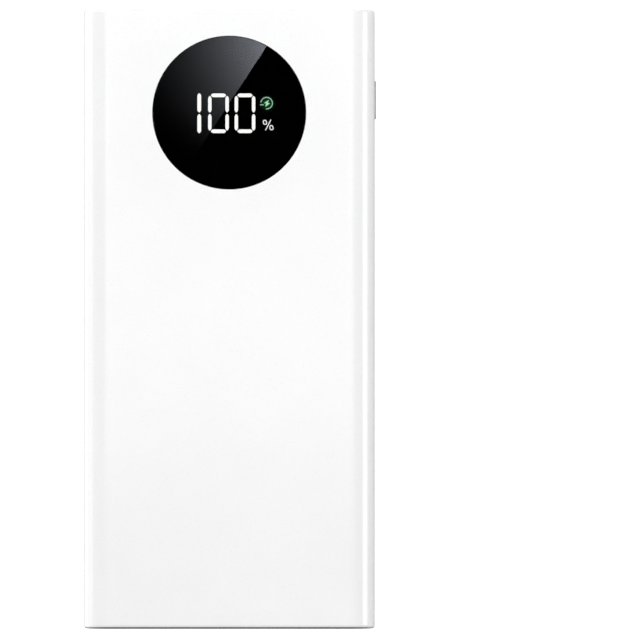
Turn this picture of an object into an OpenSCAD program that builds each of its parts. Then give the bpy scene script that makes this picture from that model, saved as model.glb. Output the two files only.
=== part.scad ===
// Slim power bank with a round charge display, lying on its back.
// X runs across it towards the button, Y along it towards the sockets and
// Z out of the display. The origin is the middle of the flat back face.

/* [Case] */
// Width of the case, without the button
body_w = 68; // [68:0.5:76]
// Length of the case
body_l = 144.4; // [142:0.1:165]
// Thickness of the case
body_t = 16; // [16:0.1:17]
// Radius of the rounded long sides
side_r = 6; // [5:0.5:6.5]
// Radius that softens the rim of both ends
rim_r = 0.6; // [0.4:0.1:1.2]
// Thickness of the case walls
wall = 1.5; // [1.3:0.1:1.5]

/* [Display] */
// Diameter of the round lens
window_d = 35.8; // [34:0.1:37]
// Distance from the socket end to the centre of the lens
window_from_end = 24.15; // [22:0.05:26]
// Thickness of the smoked lens
lens_t = 1.2; // [0.8:0.1:1.2]
// Height of a digit
digit_h = 9.26; // [8:0.02:10]
// Width of a digit
digit_w = 4.84; // [4.6:0.02:5.2]
// Distance from one digit to the next
digit_pitch = 6.19; // [6:0.01:6.4]
// Width of an upright bar of the noughts
bar_w = 0.8; // [0.76:0.02:1]
// Width of the bar of the one
one_bar_w = 0.88; // [0.76:0.02:1]

/* [Button] */
// Length of the side button
button_l = 9; // [7:0.5:10]
// Height of the side button
button_h = 3; // [2.6:0.1:3.2]
// How far the button stands out of the side
button_proud = 0.35; // [0.3:0.05:0.8]
// Distance from the socket end to the middle of the button
button_from_end = 20.9; // [20:0.1:22]
// Travel of the button
button_travel = 0.3; // [0.2:0.05:0.3]

/* [Sockets] */
// Distance between the centres of the two large sockets
usb_a_spread = 39; // [38:0.5:40]
// Place of the small oval socket across the end
usb_c_x = -5.6; // [-6:0.1:-5.4]
// Place of the small tapered socket across the end
micro_x = 6.1; // [5.6:0.1:6.6]

/* [Battery] */
// Width of a pouch cell
cell_w = 60; // [54:0.5:60]
// Length of a pouch cell, with its sealed edge
cell_l = 95; // [80:1:95]
// Thickness of a pouch cell
cell_t = 5.8; // [4.5:0.1:5.8]

/* [Board] */
// Width of the main board
board_w = 60; // [58:0.5:61]
// Length of the main board
board_l = 41; // [40:0.5:41]
// Thickness of the boards
board_t = 1.2; // [0.8:0.1:1.2]

/* [Hidden] */
$fn = 64;

eps = 0.01;

// Case
end_y = body_l / 2;
side_x = body_w / 2;
split_z = body_t / 2;
hollow_w = body_w - 2 * wall;
hollow_l = body_l - 2 * wall;
hollow_t = body_t - 2 * wall;
floor_z = wall;
ceiling_z = body_t - wall;
lip_t = 0.7;
lip_h = 1.2;
lip_gap = 0.1;
shadow_line = 0.2;

// Window and lens
window_y = end_y - window_from_end;
lens_gap = 0.1;
mask_t = 0.1;
adhesive_t = 0.1;
seat_z = body_t - lens_t - mask_t - adhesive_t;
aperture_d = window_d - 5;
window_boss_d = window_d + 2.8;
window_boss_z = seat_z - 1.2;

// Main board, hung from the front shell
board_top_z = ceiling_z - 2.4;
board_z = board_top_z - board_t;
board_y1 = end_y - wall - 0.6;
board_y0 = board_y1 - board_l;
board_mid_y = (board_y0 + board_y1) / 2;
screw_spots = [
    [-27, board_y0 + 3.6], [27, board_y0 + 3.6],
    [-22.5, window_y + 5.5], [22.5, window_y + 5.5]
];
screw_d = 2;
screw_head_d = 3.6;
screw_head_h = 1.3;
screw_end_z = ceiling_z + 0.1;
screw_boss_d = 4.6;

// Digits and signs, laid out from the middle of the window
digit_y = window_y - 0.11;
one_x = -7.01;
zero_x = [-2.52, -2.52 + digit_pitch];
ring_x = 8.73;
ring_y = window_y + 2.26;
percent_x = 9.1;
percent_y = window_y - 2.86;
sign_lights = [[ring_x, ring_y], [ring_x - 1.1, ring_y + 0.9], [percent_x, percent_y]];
display_w = 22;
display_h = 13;
display_x = 1.5;
pin_y = window_y + display_h / 2 - 1;
display_base_t = 0.6;
display_top_z = seat_z - 0.2;
bars_z = board_top_z + 1.1;
bar_gap = 0.23;
bar_tip = 0.46;
flat_bar_t = 0.86;
flat_bar_l = digit_w - 1.38;
upright_cut = 1.28;

// Side button and its switch
button_y = end_y - button_from_end;
button_z = split_z;
button_gap = 0.2;
flange_t = 0.8;
flange_x = side_x - wall - 0.3;
switch_w = 3.5;
switch_l = 6.4;
switch_h = 3.4;
switch_x1 = 29.7;
plunger_z = board_z - switch_h / 2;
plunger_out = 0.8;
plunger_l = 2.1;
plunger_gap = 0.15;

// Sockets, measured from their mouths
mouth_y = end_y - 0.4;
metal_t = 0.3;
usb_a_w = 13.1;
usb_a_h = 5.7;
usb_a_d = 14;
usb_a_z = board_z - usb_a_h / 2;
tongue_back = 2.3;
usb_c_w = 8.94;
usb_c_h = 3.2;
usb_c_d = 7.3;
usb_c_z = board_z - usb_c_h / 2;
micro_w = 7.5;
micro_h = 2.6;
micro_d = 5.6;
micro_z = board_z - micro_h / 2;
port_gap = 0.2;

// Battery
cell_y0 = -end_y + wall + 0.8;
terrace_l = 5;
cell_body_l = cell_l - terrace_l;
terrace_t = 0.4;
pad_t = 0.5;
tape_t = 0.2;
back_cell_z = floor_z + pad_t;
tape_z = back_cell_z + cell_t;
front_cell_z = tape_z + tape_t;
cell_end_y = cell_y0 + cell_l;
tab_w = 6;
tab_t = 0.15;
tab_x = 10;
tab_reach = 1.4;
protection_w = 46;
protection_l = 6;
protection_t = 0.8;
protection_z = tape_z + tape_t / 2 - protection_t / 2;
lead_d = 1.6;
lead_x = 14.5;

// Snap arms that hold the shells together
snap_spots = [-58, -22, 14, 38];
snap_w = 6;
snap_x0 = side_x - 2.8;
snap_x1 = side_x - 1.8;
snap_z0 = floor_z + 1.1;
snap_z1 = split_z + 3.8;
hook_z = split_z + 2.7;
hook_out = 0.5;

// ---- Shared shapes ----

// Rounded rectangle about the origin, with true arcs.
module rounded_rect(w, h, r) {
    square([w - 2 * r, h], center = true);
    square([w, h - 2 * r], center = true);
    for (sx = [-1, 1], sy = [-1, 1])
        translate([sx * (w / 2 - r), sy * (h / 2 - r)]) circle(r);
}

// Bar outline with half-round ends, along X.
module stadium(w, h) {
    square([w - h, h], center = true);
    for (s = [-1, 1])
        translate([s * (w - h) / 2, 0]) circle(h / 2);
}

// Extrudes an outline in X and Z along Y, centred.
module along_y(l) {
    rotate([90, 0, 0]) linear_extrude(l, center = true) children();
}

// Box given by its centre in X and Y, its underside and its size.
module block(x, y, z, size) {
    translate([x - size[0] / 2, y - size[1] / 2, z]) cube(size);
}

module both_sides() {
    for (s = [0, 1])
        mirror([s, 0, 0]) children();
}

// Quarter of a disc, the section of a rounded rim.
module quarter_disc(r) {
    intersection() {
        circle(r);
        square(r);
    }
}

// Rounded rim round the end face of a bar, in front of y = 0.
module rim_ring(w, t, r, rim) {
    for (sx = [0, 1], sz = [0, 1])
        mirror([sx, 0, 0]) mirror([0, 0, sz])
            translate([w / 2 - r, 0, r - t / 2]) rotate([-90, 0, 0])
                rotate_extrude(angle = 90) translate([r - rim, 0]) quarter_disc(rim);
    both_sides()
        translate([w / 2 - rim, 0, r - t / 2]) linear_extrude(t - 2 * r) quarter_disc(rim);
    for (sz = [0, 1])
        mirror([0, 0, sz]) translate([r - w / 2, 0, t / 2 - rim])
            rotate([90, 0, 90]) linear_extrude(w - 2 * r) quarter_disc(rim);
}

// Rounded bar along Y with softened rims at both ends.
module soft_bar(w, l, t, r, rim) {
    along_y(l - 2 * rim) rounded_rect(w, t, r);
    along_y(l) rounded_rect(w - 2 * rim, t - 2 * rim, r - rim);
    for (s = [0, 1])
        mirror([0, s, 0]) translate([0, l / 2 - rim, 0]) rim_ring(w, t, r, rim);
}

// ---- Case ----

module case_solid() {
    translate([0, 0, split_z]) soft_bar(body_w, body_l, body_t, side_r, rim_r);
}

module case_hollow() {
    translate([0, 0, split_z])
        along_y(hollow_l) rounded_rect(hollow_w, hollow_t, side_r - wall);
}

// Everything in front of the joint between the two shells.
module front_space() {
    translate([-body_w, -body_l, split_z]) cube([2 * body_w, 2 * body_l, body_t]);
}

// Plate over the joint, larger than the hollow by grow on every side.
module joint_plate(z, h, grow) {
    block(0, 0, z, [hollow_w + 2 * grow, hollow_l + 2 * grow, h]);
}

module micro_outline(grow) {
    half = micro_w / 2 + grow;
    foot = micro_w / 2 - 1 + 0.6 * grow;
    top = micro_h / 2 + grow;
    polygon([[-half, top], [-half, 0.1], [-foot, -top], [foot, -top], [half, 0.1], [half, top]]);
}

// Cut-outs in the end wall for the four sockets.
module port_cuts() {
    depth = 2 * (wall + lip_t + 1);
    for (s = [-1, 1])
        translate([s * usb_a_spread / 2, end_y, usb_a_z])
            along_y(depth) rounded_rect(usb_a_w + 2 * port_gap, usb_a_h + 2 * port_gap, 0.8);
    translate([usb_c_x, end_y, usb_c_z])
        along_y(depth) stadium(usb_c_w + 2 * port_gap, usb_c_h + 2 * port_gap);
    translate([micro_x, end_y, micro_z]) along_y(depth) micro_outline(port_gap);
}

// Oval opening in the side wall for the button.
module button_cut() {
    translate([side_x - 3, button_y, button_z]) rotate([90, 0, 90])
        linear_extrude(6) stadium(button_l + 2 * button_gap, button_h + 2 * button_gap);
}

module front_bosses() {
    translate([0, window_y, window_boss_z])
        cylinder(h = ceiling_z + 0.3 - window_boss_z, d = window_boss_d);
    for (p = screw_spots)
        translate([p[0], p[1], board_top_z])
            cylinder(h = ceiling_z + 0.3 - board_top_z, d = screw_boss_d);
}

module front_shell() {
    color("white") difference() {
        union() {
            difference() {
                intersection() {
                    case_solid();
                    front_space();
                }
                case_hollow();
            }
            front_bosses();
        }
        // window, with a step that the lens is glued to
        translate([0, window_y, seat_z]) cylinder(h = body_t, d = window_d + 2 * lens_gap);
        translate([0, window_y, window_boss_z - 1]) cylinder(h = body_t, d = aperture_d);
        for (p = screw_spots)
            translate([p[0], p[1], board_top_z - 1])
                cylinder(h = screw_end_z + 1.2 - board_top_z, d = screw_d + 0.05);
        // groove for the lip of the back shell, and the fine line at the joint
        joint_plate(split_z - eps, lip_h + lip_gap + eps, lip_t + lip_gap);
        difference() {
            block(0, 0, split_z - eps, [body_w + 2, body_l + 2, shadow_line + eps]);
            block(0, 0, split_z - 1, [body_w - 2 * shadow_line, body_l - 2 * shadow_line, 3]);
        }
        // pockets that the snap hooks catch in
        for (y = snap_spots)
            both_sides() block(side_x - 2, y, hook_z - 0.2, [2, snap_w + 0.6, 1.6]);
        port_cuts();
        button_cut();
    }
}

module snap_arm() {
    translate([snap_x0, -snap_w / 2, snap_z0])
        cube([snap_x1 - snap_x0, snap_w, snap_z1 - snap_z0]);
    translate([0, snap_w / 2, 0]) rotate([90, 0, 0]) linear_extrude(snap_w)
        polygon([[snap_x1 - eps, hook_z], [snap_x1 + hook_out, hook_z], [snap_x1 - eps, snap_z1]]);
}

module back_shell() {
    rib_y = cell_end_y + 2.6;
    color("white") difference() {
        union() {
            difference() {
                case_solid();
                front_space();
                case_hollow();
            }
            difference() {
                joint_plate(split_z - 1, lip_h + 1, lip_t);
                joint_plate(split_z - 2, lip_h + 4, 0);
            }
            for (y = snap_spots)
                both_sides() translate([0, y, 0]) snap_arm();
            // rib between the battery and the board
            block(0, rib_y, floor_z - 0.2, [hollow_w - 8, 1, 4.7]);
        }
        port_cuts();
        button_cut();
    }
}

// ---- Display ----

module display_lens() {
    edge = 0.15;
    color([0.05, 0.05, 0.06, 0.9]) translate([0, window_y, body_t - lens_t]) {
        cylinder(h = lens_t - edge, d = window_d);
        translate([0, 0, lens_t - edge])
            cylinder(h = edge, d1 = window_d, d2 = window_d - 2 * edge);
    }
}

// Black film printed on the back of the lens, open over the display.
module lens_mask() {
    border = 0.2;
    color([0.02, 0.02, 0.02]) difference() {
        translate([0, window_y, seat_z + adhesive_t]) cylinder(h = mask_t, d = window_d - 0.2);
        block(display_x, window_y, seat_z, [display_w - 2 * border, display_h - 2 * border, 1]);
    }
}

module lens_adhesive() {
    color("dimgray") translate([0, window_y, seat_z]) difference() {
        cylinder(h = adhesive_t, d = window_d - 0.6);
        translate([0, 0, -1]) cylinder(h = 3, d = aperture_d + 0.6);
    }
}

// Bar of a digit standing along Y, pointed at both ends.
module bar_outline(len, w = bar_w, tip = bar_tip) {
    half = w / 2;
    blunt = 0.14;
    end = len / 2;
    polygon([
        [-half, tip - end], [-blunt, -end], [blunt, -end], [half, tip - end],
        [half, end - tip], [blunt, end], [-blunt, end], [-half, end - tip]
    ]);
}

// Two bars, one above the other, over a given height.
module upright_pair(height, w = bar_w) {
    len = (height - 2 * bar_gap) / 2;
    for (s = [-1, 1])
        translate([0, s * (bar_gap + len / 2)]) bar_outline(len, w);
}

module flat_bar() {
    rotate(90) bar_outline(flat_bar_l, flat_bar_t, flat_bar_t / 2);
}

module lit_outlines() {
    translate([one_x, digit_y]) upright_pair(digit_h, one_bar_w);
    for (x = zero_x) {
        for (s = [-1, 1]) {
            translate([x + s * (digit_w - bar_w) / 2, digit_y]) upright_pair(digit_h - upright_cut);
            translate([x, digit_y + s * (digit_h - flat_bar_t) / 2]) flat_bar();
        }
    }
}

module unlit_outlines() {
    for (x = zero_x)
        translate([x, digit_y]) flat_bar();
}

// Open ring with a short tail, round the bolt.
module ring_outline() {
    outer = 1.46;
    line = 0.22;
    translate([ring_x, ring_y]) {
        difference() {
            circle(outer);
            circle(outer - line);
            polygon([[0, 0], [-3, 0.35], [-3, -3], [-0.35, -3]]);
        }
        translate([-1.54, -0.5]) square([0.86, line]);
    }
}

module bolt_outline() {
    translate([ring_x, ring_y]) polygon([
        [0.55, 0.75], [-0.62, 0.02], [-0.08, -0.06], [-0.35, -0.88], [0.78, -0.06], [0.22, 0.06]
    ]);
}

module oval_ring() {
    rotate(90) difference() {
        stadium(1.22, 0.94);
        stadium(0.78, 0.5);
    }
}

module percent_outline() {
    translate([percent_x, percent_y]) {
        translate([-0.76, 0.62]) rotate(14) oval_ring();
        translate([0.76, -0.62]) rotate(14) oval_ring();
        rotate(-27) square([0.22, 2.8], center = true);
    }
}

module glow_body() {
    translate([0, 0, bars_z]) linear_extrude(display_top_z + 0.05 - bars_z) children();
}

module lit_bars() {
    color("white") glow_body() lit_outlines();
}

module unlit_bars() {
    color("dimgray") glow_body() unlit_outlines();
}

module charge_ring() {
    color("palegreen") glow_body() ring_outline();
}

module charge_bolt() {
    color("limegreen") glow_body() bolt_outline();
}

module percent_sign() {
    color("white") glow_body() percent_outline();
}

module display_base() {
    color("darkgreen")
        block(display_x, window_y, board_top_z, [display_w, display_h, display_base_t]);
}

module display_reflector() {
    z = board_top_z + display_base_t;
    color([0.08, 0.08, 0.08]) difference() {
        block(display_x, window_y, z, [display_w, display_h, display_top_z - z]);
        // wells right through for the bars, and shallow ones for the signs
        translate([0, 0, z - 1]) linear_extrude(4) {
            lit_outlines();
            unlit_outlines();
        }
        translate([0, 0, bars_z]) linear_extrude(4) {
            ring_outline();
            bolt_outline();
            percent_outline();
        }
        for (p = sign_lights)
            translate([p[0], p[1], z - 1]) cylinder(h = bars_z + 1.1 - z, d = 0.9);
    }
}

// One small light under each bar and each sign.
module display_leds() {
    z = board_top_z + display_base_t;
    bar_mid = (digit_h / 2 + bar_gap) / 2;
    uprights = [
        for (x = concat([one_x], [for (d = zero_x, s = [-1, 1]) d + s * (digit_w - bar_w) / 2]))
            for (s = [-1, 1]) [x, digit_y + s * bar_mid]
    ];
    flats = [for (d = zero_x, s = [-1, 0, 1]) [d, digit_y + s * (digit_h - flat_bar_t) / 2]];
    color("lightyellow")
        for (p = concat(uprights, flats, sign_lights))
            block(p[0], p[1], z, [0.7, 0.5, 0.3]);
}

module display_pins() {
    color("gold")
        for (i = [-2 : 2])
            block(display_x + i * 2.54, pin_y, board_z - 0.8, [0.5, 0.5, board_t + 0.8]);
}

module display_driver_chip() {
    color([0.12, 0.12, 0.13]) {
        block(-24.6, window_y - 3, board_top_z + 0.1, [3.9, 4.9, 1.4]);
        for (i = [-1.5 : 1 : 1.5])
            block(-24.6, window_y - 3 + i * 1.27, board_top_z, [5.6, 0.4, 0.2]);
    }
}

// ---- Main board ----

module main_board() {
    color("darkgreen") difference() {
        block(0, board_mid_y, board_z, [board_w, board_l, board_t]);
        for (p = screw_spots)
            translate([p[0], p[1], board_z - 1]) cylinder(h = 4, d = screw_d + 0.3);
        for (i = [-2 : 2])
            block(display_x + i * 2.54, pin_y, board_z - 1, [0.6, 0.6, 4]);
        for (s = [-1, 1], side = [-1, 1], y = usb_a_leg_y)
            block(s * usb_a_spread / 2 + side * (usb_a_w - metal_t) / 2, mouth_y + y,
                board_z - 1, [0.7, 2, 4]);
    }
}

// Pan-head screws, put in from the back.
module board_screws() {
    color("silver")
        for (p = screw_spots)
            translate([p[0], p[1], board_z]) difference() {
                union() {
                    translate([0, 0, -screw_head_h]) cylinder(h = screw_head_h, d = screw_head_d);
                    cylinder(h = screw_end_z - board_z - 0.8, d = screw_d);
                    translate([0, 0, screw_end_z - board_z - 0.8])
                        cylinder(h = 0.8, d1 = screw_d, d2 = 0.8);
                }
                // cross recess
                for (a = [0, 90])
                    rotate(a) block(0, 0, -screw_head_h - 1, [2, 0.5, 1.8]);
            }
}

module power_inductor() {
    color([0.25, 0.25, 0.27]) translate([-13, board_y0 + 14.5, board_z - 4])
        linear_extrude(4) rounded_rect(10, 10, 1.5);
}

module controller_chip() {
    color([0.12, 0.12, 0.13]) block(0, board_y0 + 20, board_z - 0.9, [5, 5, 0.9]);
}

module power_transistors() {
    color([0.15, 0.15, 0.16])
        for (i = [0 : 3])
            block(-3 + 7 * i, board_y0 + 12, board_z - 1.1, [5, 6, 1.1]);
}

module bulk_capacitors() {
    color("silver")
        for (x = [-20, 2, 9])
            translate([x, board_y0 + 4.6, board_z - 5.8]) {
                cylinder(h = 5.2, d = 6.3);
                translate([0, 0, 5.2 - eps]) linear_extrude(0.6 + eps) rounded_rect(6.6, 6.6, 0.8);
            }
}

module ceramic_capacitors() {
    color("tan")
        for (i = [0 : 7])
            block(-9 + 2.6 * i, board_y0 + 28, board_z - 0.8, [0.9, 1.6, 0.8]);
}

module resistors() {
    color("black")
        for (i = [0 : 4], j = [0, 1])
            block(5.5 + 2.4 * i, board_y0 + 18.4 + 2.6 * j, board_z - 0.45, [1.6, 0.8, 0.45]);
}

// ---- Sockets ----

// Places a socket: its mouth at the end face, its body towards -Y.
module at_socket(x, z) {
    translate([x, mouth_y, z]) children();
}

usb_a_leg_y = [-4.5, -9.5];

module usb_a_shell(x) {
    color("silver") at_socket(x, usb_a_z) {
        difference() {
            translate([0, -usb_a_d / 2, 0]) difference() {
                along_y(usb_a_d) rounded_rect(usb_a_w, usb_a_h, 0.6);
                along_y(usb_a_d + 2)
                    rounded_rect(usb_a_w - 2 * metal_t, usb_a_h - 2 * metal_t, 0.3);
            }
            // slits that free two spring fingers above and two below
            for (s = [-1, 1])
                difference() {
                    block(s * 3, -4.8, -usb_a_h, [2.8, 6, 2 * usb_a_h]);
                    block(s * 3, -4.3, -usb_a_h - 1, [1.8, 6, 2 * usb_a_h + 2]);
                }
        }
        // legs through the board
        for (s = [-1, 1], y = usb_a_leg_y)
            block(s * (usb_a_w - metal_t) / 2, y, usb_a_h / 2 - 1, [metal_t, 1.6, 2.6]);
    }
}

module usb_a_insulator(x) {
    inner_h = usb_a_h - 2 * metal_t;
    color([0.1, 0.1, 0.11]) at_socket(x, usb_a_z) {
        translate([0, -usb_a_d + 1.3, 0])
            along_y(2.6) rounded_rect(usb_a_w - 2 * metal_t - 0.04, inner_h - 0.04, 0.3);
        translate([-5.6, -usb_a_d + 2.5, -inner_h / 2 + 0.5])
            cube([11.2, usb_a_d - 2.5 - tongue_back, 1.9]);
    }
}

module usb_a_contacts(x) {
    color("gold") at_socket(x, usb_a_z)
        for (dx = [-3.5, -1, 1, 3.5])
            block(dx, -tongue_back - 4.4, -usb_a_h / 2 + metal_t + 2.4, [1, 7.6, 0.15]);
}

module usb_a_left_shell() { usb_a_shell(-usb_a_spread / 2); }
module usb_a_left_insulator() { usb_a_insulator(-usb_a_spread / 2); }
module usb_a_left_contacts() { usb_a_contacts(-usb_a_spread / 2); }
module usb_a_right_shell() { usb_a_shell(usb_a_spread / 2); }
module usb_a_right_insulator() { usb_a_insulator(usb_a_spread / 2); }
module usb_a_right_contacts() { usb_a_contacts(usb_a_spread / 2); }

module usb_c_shell() {
    color("silver") at_socket(usb_c_x, usb_c_z) translate([0, -usb_c_d / 2, 0]) difference() {
        along_y(usb_c_d) stadium(usb_c_w, usb_c_h);
        along_y(usb_c_d + 2) stadium(usb_c_w - 2 * metal_t, usb_c_h - 2 * metal_t);
    }
}

module usb_c_insulator() {
    color([0.1, 0.1, 0.11]) at_socket(usb_c_x, usb_c_z) {
        translate([0, -usb_c_d + 1, 0])
            along_y(2) stadium(usb_c_w - 2 * metal_t - 0.04, usb_c_h - 2 * metal_t - 0.04);
        translate([0, -usb_c_d / 2 + 0.7, 0]) along_y(usb_c_d - 2.6) square([6.7, 0.7], center = true);
    }
}

module usb_c_contacts() {
    color("gold") at_socket(usb_c_x, usb_c_z)
        for (i = [-5.5 : 5.5], s = [0, 1])
            mirror([0, 0, s]) block(0.5 * i, -2.8, 0.35, [0.26, 3.2, 0.08]);
}

module micro_usb_shell() {
    color("silver") at_socket(micro_x, micro_z) translate([0, -micro_d / 2, 0]) difference() {
        along_y(micro_d) micro_outline(0);
        along_y(micro_d + 2) micro_outline(-metal_t);
    }
}

module micro_usb_insulator() {
    color([0.1, 0.1, 0.11]) at_socket(micro_x, micro_z) {
        translate([0, -micro_d + 0.75, 0]) along_y(1.5) micro_outline(-metal_t - 0.02);
        translate([0, -micro_d / 2 + 0.2, 0.45]) along_y(micro_d - 2.2) square([3.9, 0.6], center = true);
    }
}

module micro_usb_contacts() {
    color("gold") at_socket(micro_x, micro_z)
        for (i = [-2 : 2])
            block(0.65 * i, -2.6, 0.07, [0.35, 2.6, 0.08]);
}

// ---- Button ----

module button_cap() {
    rim = 0.3;
    stem_x = flange_x - 0.1;
    front_x = side_x + button_proud;
    post_x = switch_x1 + plunger_out;
    color("gainsboro") {
        // stem with a softened front rim
        intersection() {
            translate([stem_x, button_y, button_z]) rotate([0, 0, -90])
                soft_bar(button_l, 2 * (front_x - stem_x), button_h, button_h / 2 - 0.05, rim);
            block(stem_x + 5, button_y, 0, [10, 2 * button_l, body_t]);
        }
        // flange that keeps the button in, and the post that meets the switch
        block(flange_x - flange_t / 2, button_y, button_z - 2.4, [flange_t, button_l + 2, 4.8]);
        translate([post_x, button_y - 1.5, button_z - 0.6])
            cube([flange_x - flange_t - post_x + eps, 3, 2.5]);
    }
}

module switch_plunger() {
    color("white")
        block(switch_x1 + plunger_out - plunger_l / 2, button_y, plunger_z - 0.7,
            [plunger_l, 2.5, 1.4]);
}

module switch_body() {
    pocket_x = switch_x1 + plunger_out - plunger_l - button_travel - 0.5;
    color([0.12, 0.12, 0.13]) difference() {
        block(switch_x1 - switch_w / 2, button_y, board_z - switch_h, [switch_w, switch_l, switch_h]);
        translate([pocket_x, button_y - 1.25 - plunger_gap, plunger_z - 0.7 - plunger_gap])
            cube([6, 2.5 + 2 * plunger_gap, 1.4 + 2 * plunger_gap]);
    }
}

module switch_dome() {
    dome_x = switch_x1 + plunger_out - plunger_l - button_travel - 0.45;
    color("silver") translate([dome_x, button_y, plunger_z]) rotate([0, 90, 0])
        cylinder(h = 0.15, d = 1.5);
}

// Steel clip over the switch, with two feet on the board.
module switch_cover() {
    t = 0.2;
    color("silver") {
        block(switch_x1 - switch_w / 2, button_y, board_z - switch_h - t, [switch_w, switch_l + 2 * t, t]);
        for (s = [-1, 1])
            block(switch_x1 - switch_w / 2, button_y + s * (switch_l + t) / 2,
                board_z - switch_h, [2, t, switch_h]);
    }
}

// ---- Battery ----

// Pouch cell: soft block, folded side seams and the sealed edge at the tab end.
module pouch_cell(z) {
    seam_t = 0.3;
    color([0.75, 0.76, 0.78]) translate([0, cell_y0, z]) {
        translate([0, cell_body_l / 2, cell_t / 2])
            along_y(cell_body_l) rounded_rect(cell_w, cell_t, 1.4);
        both_sides()
            block(cell_w / 2, cell_body_l / 2, cell_t / 2 - 1.2, [2 * seam_t, cell_body_l - 4, 2.4]);
        block(0, cell_body_l + terrace_l / 2 - eps, cell_t / 2 - terrace_t / 2,
            [cell_w - 4, terrace_l + 2 * eps, terrace_t]);
    }
}

module back_cell() { pouch_cell(back_cell_z); }
module front_cell() { pouch_cell(front_cell_z); }

module cell_tape() {
    color("gold") block(0, cell_y0 + cell_body_l / 2, tape_z, [cell_w - 16, cell_body_l - 14, tape_t]);
}

module adhesive_pad() {
    color("dimgray")
        block(0, cell_y0 + cell_body_l / 2, floor_z, [cell_w - 12, cell_body_l - 10, pad_t]);
}

module foam_pad() {
    z = front_cell_z + cell_t;
    color("dimgray")
        block(0, cell_y0 + cell_body_l / 2, z, [cell_w - 12, cell_body_l - 10, ceiling_z - z]);
}

// Two nickel strips that join the tabs of both cells to the protection board.
module cell_tabs() {
    low_z = back_cell_z + cell_t / 2 - tab_t / 2;
    high_z = front_cell_z + cell_t / 2 - tab_t / 2;
    color("silver")
        for (x = [-tab_x, tab_x]) {
            for (z = [low_z, high_z])
                block(x, cell_end_y + (tab_reach + tab_t) / 2, z, [tab_w, tab_reach + tab_t, tab_t]);
            block(x, cell_end_y + tab_reach + tab_t / 2, low_z,
                [tab_w, tab_t, high_z + tab_t - low_z]);
        }
}

module protection_board() {
    color("darkgreen") block(0, cell_end_y + tab_reach - protection_l / 2, protection_z,
        [protection_w, protection_l, protection_t]);
}

module protection_chips() {
    color([0.12, 0.12, 0.13])
        for (x = [-3.5, 0, 3.5])
            block(x, cell_end_y - 1.5, protection_z - 1, [2.8, 3, 1]);
}

// Lead along the protection board, round one bend and up to the main board.
module battery_lead(x) {
    run_z = protection_z + protection_t + lead_d / 2;
    bend_r = board_z - run_z;
    start_y = cell_end_y - 2.4;
    bend_y = board_y0 + 3;
    translate([x, start_y, run_z]) rotate([-90, 0, 0]) cylinder(h = bend_y - start_y, d = lead_d);
    translate([x, bend_y, board_z]) rotate([0, 90, 0])
        rotate_extrude(angle = 90) translate([bend_r, 0]) circle(d = lead_d);
}

module positive_lead() {
    color("red") battery_lead(-lead_x);
}

module negative_lead() {
    color([0.1, 0.1, 0.1]) battery_lead(lead_x);
}

// ---- Nodes ----

front_shell();
back_shell();
button_cap();
display_lens();
lens_mask();
lens_adhesive();
display_reflector();
display_base();
display_leds();
lit_bars();
unlit_bars();
charge_ring();
charge_bolt();
percent_sign();
display_pins();
display_driver_chip();
main_board();
board_screws();
usb_a_left_shell();
usb_a_left_insulator();
usb_a_left_contacts();
usb_a_right_shell();
usb_a_right_insulator();
usb_a_right_contacts();
usb_c_shell();
usb_c_insulator();
usb_c_contacts();
micro_usb_shell();
micro_usb_insulator();
micro_usb_contacts();
switch_body();
switch_cover();
switch_plunger();
switch_dome();
power_inductor();
controller_chip();
power_transistors();
bulk_capacitors();
ceramic_capacitors();
resistors();
back_cell();
front_cell();
cell_tape();
foam_pad();
adhesive_pad();
cell_tabs();
protection_board();
protection_chips();
positive_lead();
negative_lead();
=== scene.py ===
"""Finishes, lights and camera for a slim power bank with a round charge display.

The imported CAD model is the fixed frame. Its nodes keep their shape and get their finish here, and the
pieces that need a finer shape than CAD gives are built beside it. Every length is in metres.
"""

import math

import bmesh
import bpy
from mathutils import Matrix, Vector


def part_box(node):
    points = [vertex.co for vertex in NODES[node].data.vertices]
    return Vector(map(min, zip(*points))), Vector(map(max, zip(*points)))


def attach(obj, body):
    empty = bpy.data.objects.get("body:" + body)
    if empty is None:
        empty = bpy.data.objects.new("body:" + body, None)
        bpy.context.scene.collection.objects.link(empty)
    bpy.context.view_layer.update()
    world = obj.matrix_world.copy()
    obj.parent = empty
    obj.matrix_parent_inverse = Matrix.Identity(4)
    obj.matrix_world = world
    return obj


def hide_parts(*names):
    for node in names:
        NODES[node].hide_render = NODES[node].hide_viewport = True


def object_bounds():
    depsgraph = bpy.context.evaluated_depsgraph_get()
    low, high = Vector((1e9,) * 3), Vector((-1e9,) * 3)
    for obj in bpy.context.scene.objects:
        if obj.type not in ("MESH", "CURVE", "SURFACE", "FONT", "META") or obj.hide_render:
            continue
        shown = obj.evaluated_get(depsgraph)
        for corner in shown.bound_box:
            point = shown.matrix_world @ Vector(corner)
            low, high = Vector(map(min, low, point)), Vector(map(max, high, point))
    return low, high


bl_info = {
    "name": "Power bank looks",
    "version": (1, 0, 0),
    "blender": (4, 5, 0),
    "location": "3D View > Sidebar > Power bank",
    "description": "Builds the finishes, the fine pieces and the studio of a slim power bank",
    "category": "Object",
}

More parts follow.
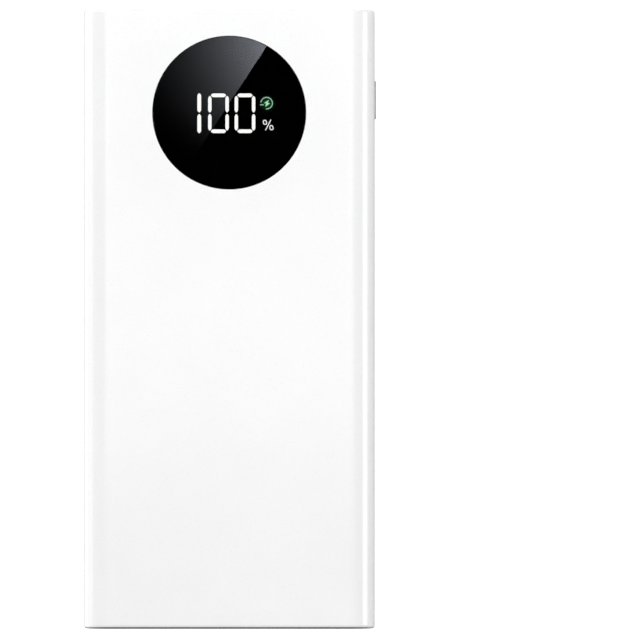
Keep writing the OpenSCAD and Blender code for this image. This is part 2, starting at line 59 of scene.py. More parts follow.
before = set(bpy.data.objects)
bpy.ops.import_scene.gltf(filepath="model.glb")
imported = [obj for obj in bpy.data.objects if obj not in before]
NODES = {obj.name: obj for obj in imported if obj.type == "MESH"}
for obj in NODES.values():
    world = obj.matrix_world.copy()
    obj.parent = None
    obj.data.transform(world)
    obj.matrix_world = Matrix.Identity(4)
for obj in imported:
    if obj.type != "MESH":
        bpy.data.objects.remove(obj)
CASE = "power_bank"
MM = 0.001
CAD_LOW, CAD_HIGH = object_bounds()
LENS_LOW, LENS_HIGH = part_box("display_lens")
LENS_CENTRE = (LENS_LOW + LENS_HIGH) / 2
LENS_RADIUS = (LENS_HIGH.x - LENS_LOW.x) / 2
FACE_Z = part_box("front_shell")[1].z

# the lens and its gasket
LENS_BEVEL = 0.1 * MM
GLUE_GAP = 0.004 * MM
LENS_RINGS = (0.996, 0.8, 0.4)
GASKET_WALL = 0.09 * MM
GASKET_DROP = 0.015 * MM

# limits for joining points and for telling crisp edges from smooth ones, with angles in degrees
WELD_GAP = 0.002 * MM
SAME_POINT = 0.0001 * MM
CRISP_ANGLE = 50
SMOOTH_ANGLE = 35

# the stage sheets, which lie one under the other just below the case
FLOOR_SIZE = 20
FLOOR_Z = -0.05 * MM
STRIP_Z = -0.08 * MM
BOUNCE_Z = -0.1 * MM
# depth of the strip of painted shadow in front of the plain end
STRIP_DEPTH = 8 * MM

# the card that the lens mirrors, as places and lengths on the lens
CARD_UPPER = Vector((8.8, 15.5)) * MM
CARD_LOWER = Vector((-9.2, -12.0)) * MM
CARD_EDGE = 0.1 * MM
CARD_RISE = 34 * MM
CARD_RISE_POWER = 2.5
CARD_REACH = 26 * MM
CARD_REACH_POWER = 1.5
CARD_WIDTH_IN_RADII = 2.6

# the surround: its plain level, and how much brighter it is towards each axis
SKY_LEVEL = 0.42
SKY_LEAN = (-0.2, 0.15, 0.25)

# the painted glow in the display's block round the charge bolt, which stands in for light spilling from
# it: its strength, and where it starts and ends
PAINTED_GLOW_LIGHT = 0.24
PAINTED_GLOW_POWER = 2.5
PAINTED_GLOW_START = 0.2 * MM
PAINTED_GLOW_END = 2.4 * MM


# ---- Sizes and colours that a user may change ----


def colour(name, description, default):
    """A colour setting, in linear red, green and blue."""
    return bpy.props.FloatVectorProperty(
        name=name, description=description, default=default, size=3, subtype="COLOR", min=0, max=1
    )


def length(name, description, default):
    """A size in metres."""
    return bpy.props.FloatProperty(
        name=name, description=description, default=default, min=0, subtype="DISTANCE", unit="LENGTH"
    )


def coordinate(name, description, default):
    """A coordinate, which may be negative."""
    return bpy.props.FloatProperty(
        name=name, description=description, default=default, subtype="DISTANCE", unit="LENGTH"
    )


def amount(name, description, default, high=1.0):
    """A plain number from zero up."""
    return bpy.props.FloatProperty(name=name, description=description, default=default, min=0, max=high)


def angle(name, description, degrees):
    """An angle, given in degrees."""
    return bpy.props.FloatProperty(
        name=name,
        description=description,
        default=math.radians(degrees),
        subtype="ANGLE",
        unit="ROTATION",
    )


class CaseFinish(bpy.types.PropertyGroup):
    """The white moulded case and its button."""

    case_colour: colour("Case colour", "Colour of the moulded case", (0.92, 0.92, 0.92))
    button_colour: colour("Button colour", "Colour of the side button", (0.5, 0.5, 0.505))
    gloss: amount("Gloss", "Weight of the clear gloss over the case", 1.0)
    grain: length("Grain", "Width of the fine moulding texture", 0.35 * MM)


class DisplayLook(bpy.types.PropertyGroup):
    """The smoked lens and the glowing signs behind it."""

    tint: amount("Tint", "How much light passes the smoked lens", 0.3)
    rim: length("Rim", "Radius of the polished edge of the lens", 0.06 * MM)
    digit_light: amount("Digit light", "Strength of the white bars", 3.4, 50)
    ring_light: amount("Ring light", "Strength of the pale green ring", 1.95, 50)
    bolt_light: amount("Bolt light", "Strength of the green bolt", 3.1, 50)
    percent_light: amount("Percent light", "Strength of the percent sign", 3.2, 50)
    ring_colour: colour("Ring colour", "Colour of the charge ring", (0.5, 0.9, 0.63))
    bolt_colour: colour("Bolt colour", "Colour of the charge bolt", (0.36, 0.95, 0.47))


class Studio(bpy.types.PropertyGroup):
    """Camera, floor and lights."""

    distance: length("Distance", "Distance from the camera to the face", 6.0)
    frame_width: length("Frame width", "Width of the picture at the face", 149.45 * MM)
    aim_x: coordinate("Aim across", "Middle of the picture, across the case", 21.2 * MM)
    aim_y: coordinate("Aim along", "Middle of the picture, along the case", -0.43 * MM)
    tilt: angle("Tilt", "Lean of the camera towards the plain end", 2.0)
    softbox_light: amount("Softbox light", "Radiance of the large light overhead", 1.68, 20)
    left_strip_light: amount("Left strip light", "Radiance of the low strip on the left", 2.8, 20)
    left_glow: amount("Left glow", "Radiance of the floor light on the left", 0.78, 20)
    right_strip_light: amount("Right strip light", "Radiance of the strip on the right", 2.6, 20)
    near_light: amount("Near light", "Radiance of the light beyond the plain end", 1.6, 20)
    far_light: amount("Far light", "Radiance of the light beyond the socket end", 2.4, 20)
    card_light: amount("Card light", "Radiance of the card mirrored in the lens", 4.3, 20)


# ---- Material building ----


class Recipe:
    """A material's node tree with short ways to add what these finishes share."""

    def __init__(self, name):
        self.material = bpy.data.materials.new(name)
        self.material.use_nodes = True
        self.nodes = self.material.node_tree.nodes
        self.links = self.material.node_tree.links
        self.shader = self.nodes["Principled BSDF"]
        self.place = self.nodes.new("ShaderNodeTexCoord").outputs["Object"]

    def set(self, **values):
        """Plain values for the shader's own sockets."""
        for socket, value in values.items():
            self.shader.inputs[socket.replace("_", " ")].default_value = value
        return self

    def feed(self, socket, output):
        """Links an output to one of the shader's own sockets."""
        self.links.new(output, self.shader.inputs[socket])
        return self

    def node(self, kind, **settings):
        """A new node with its settings."""
        made = self.nodes.new(kind)
        for name, value in settings.items():
            setattr(made, name, value)
        return made

    def stretched(self, stretch):
        """The object's coordinates, scaled along each axis."""
        mapping = self.node("ShaderNodeMapping")
        mapping.inputs["Scale"].default_value = stretch
        self.links.new(self.place, mapping.inputs["Vector"])
        return mapping.outputs["Vector"]

    def noise(self, size, detail=3.0, stretch=(1, 1, 1)):
        """Noise whose features are about size across."""
        made = self.node("ShaderNodeTexNoise")
        made.inputs["Scale"].default_value = 1 / size
        made.inputs["Detail"].default_value = detail
        self.links.new(self.stretched(stretch), made.inputs["Vector"])
        return made.outputs["Fac"]

    def cells(self, size, feature="F1", stretch=(1, 1, 1)):
        """Cell pattern whose cells are about size across."""
        made = self.node("ShaderNodeTexVoronoi", feature=feature)
        made.inputs["Scale"].default_value = 1 / size
        self.links.new(self.stretched(stretch), made.inputs["Vector"])
        return made.outputs["Distance"]

    def between(self, value, low, high, start=0.3, end=0.7):
        """Turns a value from start to end into one from low to high."""
        made = self.node("ShaderNodeMapRange", clamp=True)
        for name, number in (("From Min", start), ("From Max", end), ("To Min", low), ("To Max", high)):
            made.inputs[name].default_value = number
        self.links.new(value, made.inputs["Value"])
        return made.outputs["Result"]

    def shades(self, value, dark, light, start=0.3, end=0.7):
        """Blends two colours by a value."""
        made = self.node("ShaderNodeValToRGB")
        made.color_ramp.elements[0].position = start
        made.color_ramp.elements[1].position = end
        made.color_ramp.elements[0].color = (*dark, 1)
        made.color_ramp.elements[1].color = (*light, 1)
        self.links.new(value, made.inputs["Fac"])
        return made.outputs["Color"]

    def blend(self, factor, first, second):
        """Mixes two colour outputs by a factor output."""
        made = self.node("ShaderNodeMix", data_type="RGBA")
        self.links.new(factor, made.inputs["Factor"])
        self.links.new(first, made.inputs["A"])
        self.links.new(second, made.inputs["B"])
        return made.outputs["Result"]

    def maths(self, operation, first, second):
        """A Math node between outputs or plain numbers."""
        made = self.node("ShaderNodeMath", operation=operation)
        for socket, value in zip(made.inputs, (first, second)):
            if isinstance(value, (int, float)):
                socket.default_value = value
            else:
                self.links.new(value, socket)
        return made.outputs["Value"]

    def axis(self, name):
        """One coordinate of the object."""
        split = self.node("ShaderNodeSeparateXYZ")
        self.links.new(self.place, split.inputs["Vector"])
        return split.outputs[name]

    def relief(self, height, depth):
        """Bump from a height output, depth metres deep."""
        made = self.node("ShaderNodeBump")
        made.inputs["Strength"].default_value = 1
        made.inputs["Distance"].default_value = depth
        self.links.new(height, made.inputs["Height"])
        self.links.new(made.outputs["Normal"], self.shader.inputs["Normal"])


def toned(colour_value, factor):
    """A colour made darker or lighter."""
    return tuple(min(1.0, c * factor) for c in colour_value)


def moulded(name, colour_value, grain, depth, rough, contrast=0.06, **sockets):
    """Moulded plastic, rubber or ceramic: cloudy colour, uneven gloss and a fine grain."""
    recipe = Recipe(name)
    cloud = recipe.noise(6 * MM, 2)
    recipe.feed(
        "Base Color",
        recipe.shades(cloud, toned(colour_value, 1 - contrast), toned(colour_value, 1 + contrast)),
    )
    fine = recipe.noise(grain, 2)
    recipe.feed("Roughness", recipe.between(fine, rough * 0.88, rough * 1.12))
    recipe.relief(fine, depth)
    return recipe.set(**sockets)


def brushed(name, colour_value, grain, depth, rough, stretch, contrast=0.08):
    """Bare or plated metal: lines drawn along one axis, over a slow stain."""
    recipe = Recipe(name)
    lines = recipe.noise(grain, 2, stretch)
    stain = recipe.noise(3 * MM, 3)
    mixed = recipe.maths(
        "ADD", recipe.maths("MULTIPLY", lines, 0.6), recipe.maths("MULTIPLY", stain, 0.4)
    )
    recipe.feed(
        "Base Color",
        recipe.shades(mixed, toned(colour_value, 1 - contrast), toned(colour_value, 1 + contrast)),
    )
    recipe.feed("Roughness", recipe.between(mixed, rough * 0.75, rough * 1.25))
    recipe.relief(lines, depth)
    return recipe.set(Metallic=1.0)


def paint(nodes, recipe):
    """Gives CAD nodes a finish."""
    for name in nodes:
        target = NODES[name]
        for slot in target.material_slots:
            slot.material = recipe.material


def soften(nodes, width, segments=2):
    """Rounds the crisp edges of CAD nodes that are made of flat faces."""
    for name in nodes:
        weld = NODES[name].modifiers.new("join faces", "WELD")
        weld.merge_threshold = WELD_GAP
        bevel = NODES[name].modifiers.new("soft edges", "BEVEL")
        bevel.width = width
        bevel.segments = segments
        bevel.limit_method = "ANGLE"
        bevel.angle_limit = math.radians(CRISP_ANGLE)


# ---- Mesh building ----


def piece_from(name, mesh_data, material, body, replaces=()):
    """Finishes a piece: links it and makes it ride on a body."""
    piece = bpy.data.objects.new(name, mesh_data)
    bpy.context.scene.collection.objects.link(piece)
    mesh_data.materials.append(material)
    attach(piece, body)
    if replaces:
        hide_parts(*replaces)


def turned(name, outline, centre, segments=192):
    """A solid of revolution about a vertical axis, from (radius, height) points.

    The outline runs from axis to axis, or ends where it starts if it is a ring.
    """
    mesh = bpy.data.meshes.new(name)
    shape = bmesh.new()
    rings = []
    for radius, height in outline:
        if radius == 0:
            rings.append([shape.verts.new((centre.x, centre.y, height))])
            continue
        rings.append(
            [
                shape.verts.new(
                    (
                        centre.x + radius * math.cos(math.tau * i / segments),
                        centre.y + radius * math.sin(math.tau * i / segments),
                        height,
                    )
                )
                for i in range(segments)
            ]
        )
    for low, high in zip(rings, rings[1:]):
        for i in range(segments):
            j = (i + 1) % segments
            corners = [low[i % len(low)], low[j % len(low)], high[j % len(high)], high[i % len(high)]]
            shape.faces.new(list(dict.fromkeys(corners)))
    bmesh.ops.remove_doubles(shape, verts=shape.verts, dist=SAME_POINT)
    shape.to_mesh(mesh)
    shape.free()
    mesh.polygons.foreach_set("use_smooth", [True] * len(mesh.polygons))
    mesh.set_sharp_from_angle(angle=math.radians(SMOOTH_ANGLE))
    return mesh


def arc(radius, start, end, steps, centre=(0, 0)):
    """Points on an arc, in degrees."""
    return [
        (
            centre[0] + radius * math.cos(math.radians(start + (end - start) * i / steps)),
            centre[1] + radius * math.sin(math.radians(start + (end - start) * i / steps)),
        )
        for i in range(steps + 1)
    ]


# ---- Pieces ----


class POWERBANK_OT_case(bpy.types.Operator):
    """Finish the two halves of the white case"""

    bl_idname = "powerbank.case"
    bl_label = "Case"

    def execute(self, context):
        look = context.scene.powerbank_case
        recipe = Recipe("white_case")
        cloud = recipe.noise(18 * MM, 2)
        recipe.feed(
            "Base Color",
            recipe.shades(cloud, toned(look.case_colour, 0.99), toned(look.case_colour, 1.01)),
        )
        fine = recipe.noise(look.grain, 2)
        recipe.feed("Roughness", recipe.between(fine, 0.26, 0.34))
        recipe.relief(fine, 0.0004 * MM)
        recipe.set(IOR=1.5, Coat_Weight=look.gloss, Coat_Roughness=0.07, Coat_IOR=1.5)
        paint(["front_shell", "back_shell"], recipe)
        return {"FINISHED"}


class POWERBANK_OT_button(bpy.types.Operator):
    """Finish the side button and the plunger that it pushes"""

    bl_idname = "powerbank.button"
    bl_label = "Button"

    def execute(self, context):
        look = context.scene.powerbank_case
        paint(
            ["button_cap"],
            moulded(
                "grey_button",
                look.button_colour,
                grain=0.2 * MM,
                depth=0.002 * MM,
                rough=0.38,
                contrast=0.03,
                IOR=1.5,
            ),
        )
        paint(
            ["switch_plunger"],
            moulded("plunger_white", (0.82, 0.82, 0.79), grain=0.1 * MM, depth=0.002 * MM, rough=0.45),
        )
        return {"FINISHED"}


class POWERBANK_OT_lens(bpy.types.Operator):
    """Turn the smoked lens and its gasket, and finish the film and glue behind it"""

    bl_idname = "powerbank.lens"
    bl_label = "Lens"

    def execute(self, context):
        look = context.scene.powerbank_display
        recipe = Recipe("smoked_lens")
        tint = (look.tint, look.tint * 1.01, look.tint * 1.03)
        recipe.feed(
            "Base Color", recipe.shades(recipe.noise(9 * MM, 2), toned(tint, 0.97), toned(tint, 1.03))
        )
        recipe.set(Roughness=0.0, IOR=1.49, Transmission_Weight=1.0)
        rim = look.rim
        foot = LENS_LOW.z + GLUE_GAP
        outline = [(0, foot), (LENS_RADIUS - LENS_BEVEL, foot), (LENS_RADIUS, foot + LENS_BEVEL)]
        outline += arc(rim, 0, 90, 8, (LENS_RADIUS - rim, LENS_HIGH.z - rim))
        # the ring close to the rim keeps the shading of the flat level
        outline += [(LENS_RADIUS * part, LENS_HIGH.z) for part in LENS_RINGS]
        outline += [(0, LENS_HIGH.z)]
        piece_from(
            "lens_glass",
            turned("lens_glass", outline, LENS_CENTRE),
            recipe.material,
            CASE,
            ["display_lens"],
        )
        ink = moulded(
            "black_ink",
            (0.004, 0.004, 0.0045),
            grain=0.15 * MM,
            depth=0.001 * MM,
            rough=0.8,
            Specular_IOR_Level=0.0,
        )
        paint(["lens_mask"], ink)
        self.gasket(foot, ink)
        paint(
            ["lens_adhesive"],
            moulded(
                "black_adhesive", (0.012, 0.012, 0.012), grain=0.3 * MM, depth=0.004 * MM, rough=0.7
            ),
        )
        return {"FINISHED"}

    def gasket(self, foot, ink):
        """Black gasket round the edge of the lens, with a lip under its lower bevel."""
        lip = LENS_RADIUS - 0.9 * LENS_BEVEL
        inside = LENS_RADIUS + GLUE_GAP
        outside = LENS_RADIUS + GASKET_WALL
        top = LENS_HIGH.z - GASKET_DROP
        outline = [
            (lip, foot),
            (outside, foot),
            (outside, top),
            (inside, top),
            (inside, foot + LENS_BEVEL),
            (lip, foot),
        ]
        ring = turned("lens_edge", outline, LENS_CENTRE)
        piece_from("lens_edge", ring, ink.material, CASE)


def glowing(name, colour_value, strength):
    """Milky plastic with a light under it."""
    recipe = moulded(
        name, toned(colour_value, 0.8), grain=0.12 * MM, depth=0.001 * MM, rough=0.4, contrast=0.03
    )
    return recipe.set(Emission_Color=(*colour_value, 1), Emission_Strength=strength)


class POWERBANK_OT_display(bpy.types.Operator):
    """Light the bars and signs, and finish the block round them and the lamps behind them"""

    bl_idname = "powerbank.display"
    bl_label = "Display"

    def execute(self, context):
        look = context.scene.powerbank_display
        paint(["lit_bars"], glowing("white_light", (1.0, 0.98, 0.95), look.digit_light))
        paint(["percent_sign"], glowing("percent_light", (0.9, 0.92, 0.93), look.percent_light))
        paint(["charge_ring"], glowing("pale_green_light", look.ring_colour, look.ring_light))
        paint(["charge_bolt"], glowing("green_light", look.bolt_colour, look.bolt_light))
        paint(
            ["unlit_bars"],
            moulded(
                "unlit_bar",
                (0.012, 0.012, 0.013),
                grain=0.12 * MM,
                depth=0.001 * MM,
                rough=0.7,
                Specular_IOR_Level=0.1,
            ),
        )
        paint(["display_reflector"], self.block(look))
        paint(
            ["display_leds"],
            moulded(
                "light_chip",
                (0.85, 0.78, 0.4),
                grain=0.1 * MM,
                depth=0.004 * MM,
                rough=0.4,
                contrast=0.15,
            ),
        )
        return {"FINISHED"}

    def block(self, look):
        """Black moulded block, with a green glow painted into it round the charge sign, standing in for
        light spilling from the bolt.
        """
        recipe = moulded(
            "black_display",
            (0.006, 0.006, 0.0065),
            grain=0.2 * MM,
            depth=0.002 * MM,
            rough=0.8,
            Specular_IOR_Level=0.0,
        )
        low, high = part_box("charge_bolt")
        apart = recipe.node("ShaderNodeVectorMath", operation="DISTANCE")
        recipe.links.new(recipe.place, apart.inputs[0])
        apart.inputs[1].default_value = ((low.x + high.x) / 2, (low.y + high.y) / 2, high.z)
        # painted glow: emission that fades out with distance from the charge bolt
        near = recipe.between(apart.outputs["Value"], 1, 0, PAINTED_GLOW_START, PAINTED_GLOW_END)
        painted_glow = recipe.maths("MULTIPLY", recipe.maths("POWER", near, PAINTED_GLOW_POWER), PAINTED_GLOW_LIGHT)
        recipe.feed("Emission Strength", painted_glow)
        recipe.set(Emission_Color=(*look.bolt_colour, 1))
        return recipe


class POWERBANK_OT_sockets(bpy.types.Operator):
    """Finish the four sockets, the switch's body and the display's pins"""

    bl_idname = "powerbank.sockets"
    bl_label = "Sockets"

    def execute(self, context):
        kinds = ("usb_a_left", "usb_a_right", "usb_c", "micro_usb")
        paint(
            [f"{kind}_shell" for kind in kinds],
            brushed(
                "socket_steel",
                (0.62, 0.61, 0.59),
                grain=0.08 * MM,
                depth=0.002 * MM,
                rough=0.28,
                stretch=(1, 0.08, 1),
            ),
        )
        paint(
            [f"{kind}_insulator" for kind in kinds] + ["switch_body"],
            moulded(
                "socket_black",
                (0.018, 0.018, 0.019),
                grain=0.12 * MM,
                depth=0.003 * MM,
                rough=0.5,
                contrast=0.15,
            ),
        )
        paint(
            [f"{kind}_contacts" for kind in kinds] + ["display_pins"],
            brushed(
                "gold_contact",
                (0.86, 0.6, 0.22),
                grain=0.06 * MM,
                depth=0.001 * MM,
                rough=0.22,
                stretch=(1, 0.1, 1),
            ),
        )
        soften(["usb_a_left_contacts", "usb_a_right_contacts"], 0.05 * MM)
        soften(["usb_c_contacts", "micro_usb_contacts"], 0.02 * MM)
        return {"FINISHED"}


class POWERBANK_OT_board(bpy.types.Operator):
    """Finish the boards and everything soldered or screwed to them"""

    bl_idname = "powerbank.board"
    bl_label = "Boards"

    def execute(self, context):
        chips = ["controller_chip", "power_transistors", "protection_chips"]
        paint(["main_board", "display_base", "protection_board"], self.solder_mask())
        paint(
            [*chips, "display_driver_chip", "resistors"],
            moulded(
                "chip_black",
                (0.02, 0.02, 0.022),
                grain=0.08 * MM,
                depth=0.006 * MM,
                rough=0.62,
                contrast=0.2,
            ),
        )
        paint(
            ["board_screws", "switch_cover", "switch_dome"],
            brushed(
                "steel",
                (0.56, 0.56, 0.56),
                grain=0.1 * MM,
                depth=0.003 * MM,
                rough=0.3,
                stretch=(1, 1, 0.2),
            ),
        )
        paint(
            ["power_inductor"],
            moulded(
                "ferrite",
                (0.07, 0.07, 0.075),
                grain=0.15 * MM,
                depth=0.02 * MM,
                rough=0.75,
                contrast=0.35,
            ),
        )
        paint(
            ["bulk_capacitors"],
            brushed(
                "capacitor_can",
                (0.74, 0.74, 0.76),
                grain=0.08 * MM,
                depth=0.001 * MM,
                rough=0.2,
                stretch=(1, 1, 0.1),
            ),
        )
        paint(
            ["ceramic_capacitors"],
            moulded(
                "capacitor_tan",
                (0.46, 0.33, 0.2),
                grain=0.08 * MM,
                depth=0.004 * MM,
                rough=0.5,
                contrast=0.2,
            ),
        )
        soften(["main_board", "protection_board", "display_base"], 0.06 * MM)
        soften(chips, 0.12 * MM)
        soften(["ceramic_capacitors", "resistors", "display_driver_chip"], 0.05 * MM)
        return {"FINISHED"}

    def solder_mask(self):
        """Green solder mask over copper tracks that run square to each other."""
        recipe = Recipe("green_board")
        way = recipe.between(recipe.noise(8 * MM, 0), 0, 1, 0.495, 0.505)
        other_way = recipe.maths("SUBTRACT", 1, way)
        across = recipe.maths("MULTIPLY", self.tracks(recipe, 0), way)
        along = recipe.maths("MULTIPLY", self.tracks(recipe, math.pi / 2), other_way)
        routed = recipe.between(recipe.noise(5 * MM, 0), 0, 1, 0.44, 0.45)
        line = recipe.maths("MULTIPLY", recipe.maths("ADD", across, along), routed)
        green = recipe.shades(recipe.noise(2 * MM, 3), (0.008, 0.07, 0.028), (0.011, 0.09, 0.036))
        copper = recipe.shades(recipe.noise(0.4 * MM, 2), (0.02, 0.15, 0.055), (0.03, 0.18, 0.065))
        recipe.feed("Base Color", recipe.blend(line, green, copper))
        recipe.feed("Roughness", recipe.between(recipe.noise(0.3 * MM, 2), 0.25, 0.4))
        recipe.relief(line, 0.03 * MM)
        return recipe.set(Coat_Weight=0.4, Coat_Roughness=0.15)

    def tracks(self, recipe, turn):
        """Thin lines that run one way, with short steps from one to the next."""
        turned_place = recipe.node("ShaderNodeMapping")
        turned_place.inputs["Rotation"].default_value = (0, 0, turn)
        recipe.links.new(recipe.place, turned_place.inputs["Vector"])
        made = recipe.node("ShaderNodeTexBrick", offset=0.4, offset_frequency=3)
        made.inputs["Scale"].default_value = 1 / MM
        made.inputs["Mortar Size"].default_value = 0.08
        made.inputs["Brick Width"].default_value = 7
        made.inputs["Row Height"].default_value = 0.75
        recipe.links.new(turned_place.outputs["Vector"], made.inputs["Vector"])
        return made.outputs["Fac"]


class POWERBANK_OT_battery(bpy.types.Operator):
    """Finish the pouch cells, their pads and tabs, and the leads"""

    bl_idname = "powerbank.battery"
    bl_label = "Battery"

    def execute(self, context):
        paint(["back_cell", "front_cell"], self.foil())
        paint(
            ["cell_tape"],
            moulded(
                "yellow_tape",
                (0.75, 0.4, 0.05),
                grain=0.3 * MM,
                depth=0.002 * MM,
                rough=0.25,
                contrast=0.08,
            ),
        )
        paint(["foam_pad", "adhesive_pad"], self.foam())
        paint(
            ["cell_tabs"],
            brushed(
                "nickel",
                (0.62, 0.59, 0.54),
                grain=0.1 * MM,
                depth=0.003 * MM,
                rough=0.32,
                stretch=(0.1, 1, 1),
            ),
        )
        paint(
            ["positive_lead"],
            moulded(
                "red_wire",
                (0.5, 0.012, 0.01),
                grain=0.15 * MM,
                depth=0.003 * MM,
                rough=0.4,
                contrast=0.1,
            ),
        )
        paint(
            ["negative_lead"],
            moulded(
                "black_wire",
                (0.012, 0.012, 0.012),
                grain=0.15 * MM,
                depth=0.003 * MM,
                rough=0.4,
                contrast=0.1,
            ),
        )
        soften(["back_cell", "front_cell"], 0.5 * MM, 3)
        soften(["foam_pad", "adhesive_pad"], 0.15 * MM, 3)
        soften(["cell_tabs", "cell_tape"], 0.03 * MM)
        return {"FINISHED"}

    def foil(self):
        """Silver laminate foil, creased where it was drawn over the cell."""
        recipe = Recipe("pouch_foil")
        crease = recipe.cells(7 * MM, "DISTANCE_TO_EDGE", (1, 0.5, 1))
        soft = recipe.noise(3 * MM, 3)
        height = recipe.maths("ADD", recipe.between(crease, 0.3, 0, 0, 0.1), soft)
        recipe.feed("Base Color", recipe.shades(soft, (0.5, 0.51, 0.53), (0.66, 0.67, 0.69)))
        recipe.feed("Roughness", recipe.between(soft, 0.3, 0.45))
        recipe.relief(height, 0.12 * MM)
        return recipe.set(Metallic=0.85)

    def foam(self):
        """Open-cell foam, with painted shade in the pits of its pores."""
        recipe = Recipe("grey_foam")
        pores = recipe.cells(0.5 * MM)
        dark, light = (0.03, 0.03, 0.032), (0.12, 0.12, 0.125)
        # the pits of the pores, where the bump sinks, are darker: painted shade
        recipe.feed("Base Color", recipe.shades(pores, dark, light, start=0.1, end=0.8))
        recipe.feed("Roughness", recipe.between(pores, 0.85, 1))
        recipe.relief(pores, 0.15 * MM)
        return recipe.set(Sheen_Weight=0.3)


# ---- Stage ----


def lamp(name, radiance, size, place, target):
    """Rectangular soft light of a given radiance, turned to a target, which the camera doesn't see."""
    data = bpy.data.lights.new(name, "AREA")
    data.shape = "RECTANGLE"
    width, depth = size
    data.size, data.size_y = width, depth
    data.energy = radiance * width * depth * math.pi
    made = bpy.data.objects.new(name, data)
    made.location = place
    made.rotation_euler = (Vector(target) - Vector(place)).to_track_quat("-Z", "Y").to_euler()
    made.visible_camera = False
    bpy.context.scene.collection.objects.link(made)


def sheet_of(name, size, height, material):
    """Flat square stage sheet."""
    half = size / 2
    mesh = bpy.data.meshes.new(name)
    corners = [(x * half, y * half, height) for x, y in ((-1, -1), (1, -1), (1, 1), (-1, 1))]
    mesh.from_pydata(corners, [], [(0, 1, 2, 3)])
    made = bpy.data.objects.new(name, mesh)
    mesh.materials.append(material)
    bpy.context.scene.collection.objects.link(made)
    return made


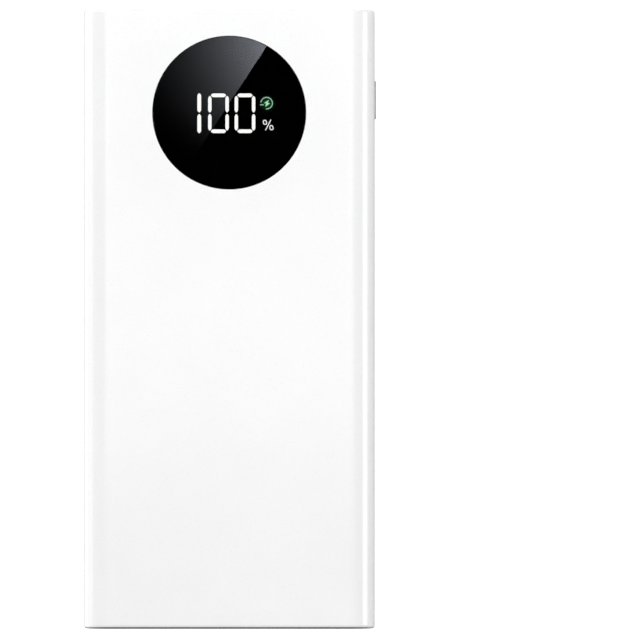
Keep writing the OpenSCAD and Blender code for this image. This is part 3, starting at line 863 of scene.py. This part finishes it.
class POWERBANK_OT_stage(bpy.types.Operator):
    """Set up the floor, the soft lights and the camera"""

    bl_idname = "powerbank.stage"
    bl_label = "Studio"

    def execute(self, context):
        studio = context.scene.powerbank_studio
        context.scene.view_settings.view_transform = "Standard"
        self.sky()
        self.floors()
        eye = self.camera(studio)
        face = Vector((0, 0, FACE_Z))
        # each lamp's name, radiance, width and depth, place, and what it points at
        for name, radiance, size, place, target in (
            ("softbox", studio.softbox_light, (2.4, 2.4), (0, 1.28, 3.6), (0, 1.28, 0)),
            ("left_strip", studio.left_strip_light, (0.3, 0.04), (-0.5, 0, 0.025), face),
            ("left_glow", studio.left_glow, (0.25, 0.3), (-0.165, 0, 0.0005), (-0.165, 0, 1)),
            ("right_strip", studio.right_strip_light, (0.3, 0.22), (0.5, 0, 0.12), face),
            ("near_light", studio.near_light, (0.5, 0.12), (0, -0.5, 0.22), face),
            ("far_light", studio.far_light, (0.5, 0.2), (0, 0.4, 0.4), face),
        ):
            lamp(name, radiance, size, place, target)
        self.card(studio, eye)
        return {"FINISHED"}

    def sky(self):
        """Soft surround, brighter above, on the left and beyond the socket end."""
        world = bpy.data.worlds.new("surround")
        world.use_nodes = True
        bpy.context.scene.world = world
        nodes, links = world.node_tree.nodes, world.node_tree.links
        place = nodes.new("ShaderNodeTexCoord").outputs["Generated"]
        lean = nodes.new("ShaderNodeVectorMath")
        lean.operation = "DOT_PRODUCT"
        lean.inputs[1].default_value = SKY_LEAN
        links.new(place, lean.inputs[0])
        level = nodes.new("ShaderNodeMath")
        level.operation = "ADD"
        level.use_clamp = True
        level.inputs[1].default_value = SKY_LEVEL
        links.new(lean.outputs["Value"], level.inputs[0])
        links.new(level.outputs["Value"], nodes["Background"].inputs["Strength"])
        nodes["Background"].inputs["Color"].default_value = (1, 1, 1, 1)

    def floors(self):
        """A pale floor that only the camera sees, a grey one for all other light, and a dark strip of
        painted shadow.
        """
        shown = Recipe("pale_floor")
        shown.feed("Base Color", shown.shades(shown.noise(0.2, 2), (0.5, 0.5, 0.5), (0.55, 0.55, 0.55)))
        shown.set(Roughness=1.0, Specular_IOR_Level=0.0)
        shown.set(Emission_Color=(1, 1, 1, 1), Emission_Strength=0.85)
        floor = sheet_of("floor", FLOOR_SIZE, FLOOR_Z, shown.material)
        floor.visible_diffuse = floor.visible_glossy = floor.visible_transmission = False
        floor.visible_shadow = False
        bounce = Recipe("grey_floor")
        mottle = bounce.noise(0.2, 2)
        bounce.feed("Base Color", bounce.shades(mottle, (0.58, 0.58, 0.58), (0.62, 0.62, 0.62)))
        bounce.set(Roughness=1.0, Specular_IOR_Level=0.0)
        below = sheet_of("bounce_floor", FLOOR_SIZE, BOUNCE_Z, bounce.material)
        below.visible_camera = False
        self.shadow_strip()

    def shadow_strip(self):
        """Dark strip over the grey floor in front of the plain end: a painted contact shadow, which the
        upright face of the plain end mirrors.
        """
        dark = Recipe("painted_shadow_floor")
        dark.feed("Base Color", dark.shades(dark.noise(0.01, 2), (0.01, 0.01, 0.01), (0.02, 0.02, 0.02)))
        dark.set(Roughness=1.0, Specular_IOR_Level=0.0)
        strip = sheet_of("shadow_strip", 1, 0, dark.material)
        strip.scale = (CAD_HIGH.x - CAD_LOW.x, STRIP_DEPTH, 1)
        strip.location = (0, CAD_LOW.y - STRIP_DEPTH / 2, STRIP_Z)
        strip.visible_camera = strip.visible_diffuse = strip.visible_shadow = False

    def camera(self, studio):
        """Long lens far above the face, leaned a little towards the plain end. Gives back its place."""
        data = bpy.data.cameras.new("camera")
        data.lens = data.sensor_width * studio.distance / studio.frame_width
        data.clip_start, data.clip_end = studio.distance / 10, studio.distance * 4
        made = bpy.data.objects.new("camera", data)
        back = Vector((0, -math.sin(studio.tilt), math.cos(studio.tilt)))
        made.location = Vector((studio.aim_x, studio.aim_y, FACE_Z)) + back * studio.distance
        made.rotation_euler = (studio.tilt, 0, 0)
        bpy.context.scene.collection.objects.link(made)
        bpy.context.scene.camera = made
        return made.location

    def card(self, studio, eye):
        """Card that the lens mirrors: a grey glow on one side of a slanting edge, black on the other."""
        height = studio.distance / 2
        glass = Vector((LENS_CENTRE.x, LENS_CENTRE.y, LENS_HIGH.z))
        share = (height - glass.z) / (eye.z - glass.z)
        centre = glass + (glass - eye) * share
        grow = 1 + share
        recipe = Recipe("lens_card")
        self.card_glow(recipe, centre, grow, studio.card_light)
        width = CARD_WIDTH_IN_RADII * LENS_RADIUS * grow
        made = sheet_of("lens_card", width, height, recipe.material)
        made.location = (centre.x, centre.y, 0)
        made.visible_camera = made.visible_diffuse = made.visible_shadow = False

    def card_glow(self, recipe, centre, grow, radiance):
        """The glow ends at a line through two points of the lens and fades towards the lower left."""
        upper = CARD_UPPER * grow
        lower = CARD_LOWER * grow
        along = (upper - lower).normalized()
        across = Vector((-along.y, along.x))
        x, y = recipe.axis("X"), recipe.axis("Y")

        def distance(direction, point):
            """How far a place lies from a point, along a direction."""
            first = recipe.maths("MULTIPLY", recipe.maths("SUBTRACT", x, point.x), direction.x)
            second = recipe.maths("MULTIPLY", recipe.maths("SUBTRACT", y, point.y), direction.y)
            return recipe.maths("ADD", first, second)

        inside = recipe.between(distance(across, upper), 0, 1, 0, CARD_EDGE * grow)
        fade = recipe.between(distance(along, lower), 0, 1, 0, CARD_RISE * grow)
        side = recipe.between(distance(across, upper), 1, 0, 0, CARD_REACH * grow)
        fade = recipe.maths("POWER", fade, CARD_RISE_POWER)
        side = recipe.maths("POWER", side, CARD_REACH_POWER)
        glow = recipe.maths("MULTIPLY", recipe.maths("MULTIPLY", fade, side), inside)
        strength = recipe.maths("MULTIPLY", glow, radiance)
        recipe.feed("Emission Strength", strength)
        recipe.set(Base_Color=(0, 0, 0, 1), Specular_IOR_Level=0.0, Emission_Color=(0.86, 0.9, 1.0, 1))


# ---- Add-on ----


class POWERBANK_PT_looks(bpy.types.Panel):
    """Lists the settings and builds the pieces"""

    bl_idname = "POWERBANK_PT_looks"
    bl_label = "Power bank"
    bl_space_type = "VIEW_3D"
    bl_region_type = "UI"
    bl_category = "Power bank"

    def draw(self, context):
        for group in ("powerbank_case", "powerbank_display", "powerbank_studio"):
            settings = getattr(context.scene, group)
            column = self.layout.column(align=True)
            for name in settings.__annotations__:
                column.prop(settings, name)
        for operator in OPERATORS:
            self.layout.operator(operator.bl_idname)


OPERATORS = (
    POWERBANK_OT_case,
    POWERBANK_OT_button,
    POWERBANK_OT_lens,
    POWERBANK_OT_display,
    POWERBANK_OT_sockets,
    POWERBANK_OT_board,
    POWERBANK_OT_battery,
    POWERBANK_OT_stage,
)
CLASSES = (CaseFinish, DisplayLook, Studio, *OPERATORS, POWERBANK_PT_looks)


def register():
    """Adds the settings, the operators and the panel."""
    for cls in CLASSES:
        bpy.utils.register_class(cls)
    bpy.types.Scene.powerbank_case = bpy.props.PointerProperty(type=CaseFinish)
    bpy.types.Scene.powerbank_display = bpy.props.PointerProperty(type=DisplayLook)
    bpy.types.Scene.powerbank_studio = bpy.props.PointerProperty(type=Studio)


def unregister():
    """Takes them away again."""
    del bpy.types.Scene.powerbank_case
    del bpy.types.Scene.powerbank_display
    del bpy.types.Scene.powerbank_studio
    for cls in reversed(CLASSES):
        bpy.utils.unregister_class(cls)


def main():
    """Builds every piece and the stage."""
    register()
    bpy.ops.powerbank.case()
    bpy.ops.powerbank.button()
    bpy.ops.powerbank.lens()
    bpy.ops.powerbank.display()
    bpy.ops.powerbank.sockets()
    bpy.ops.powerbank.board()
    bpy.ops.powerbank.battery()
    bpy.ops.powerbank.stage()


if __name__ == "__main__":
    main()
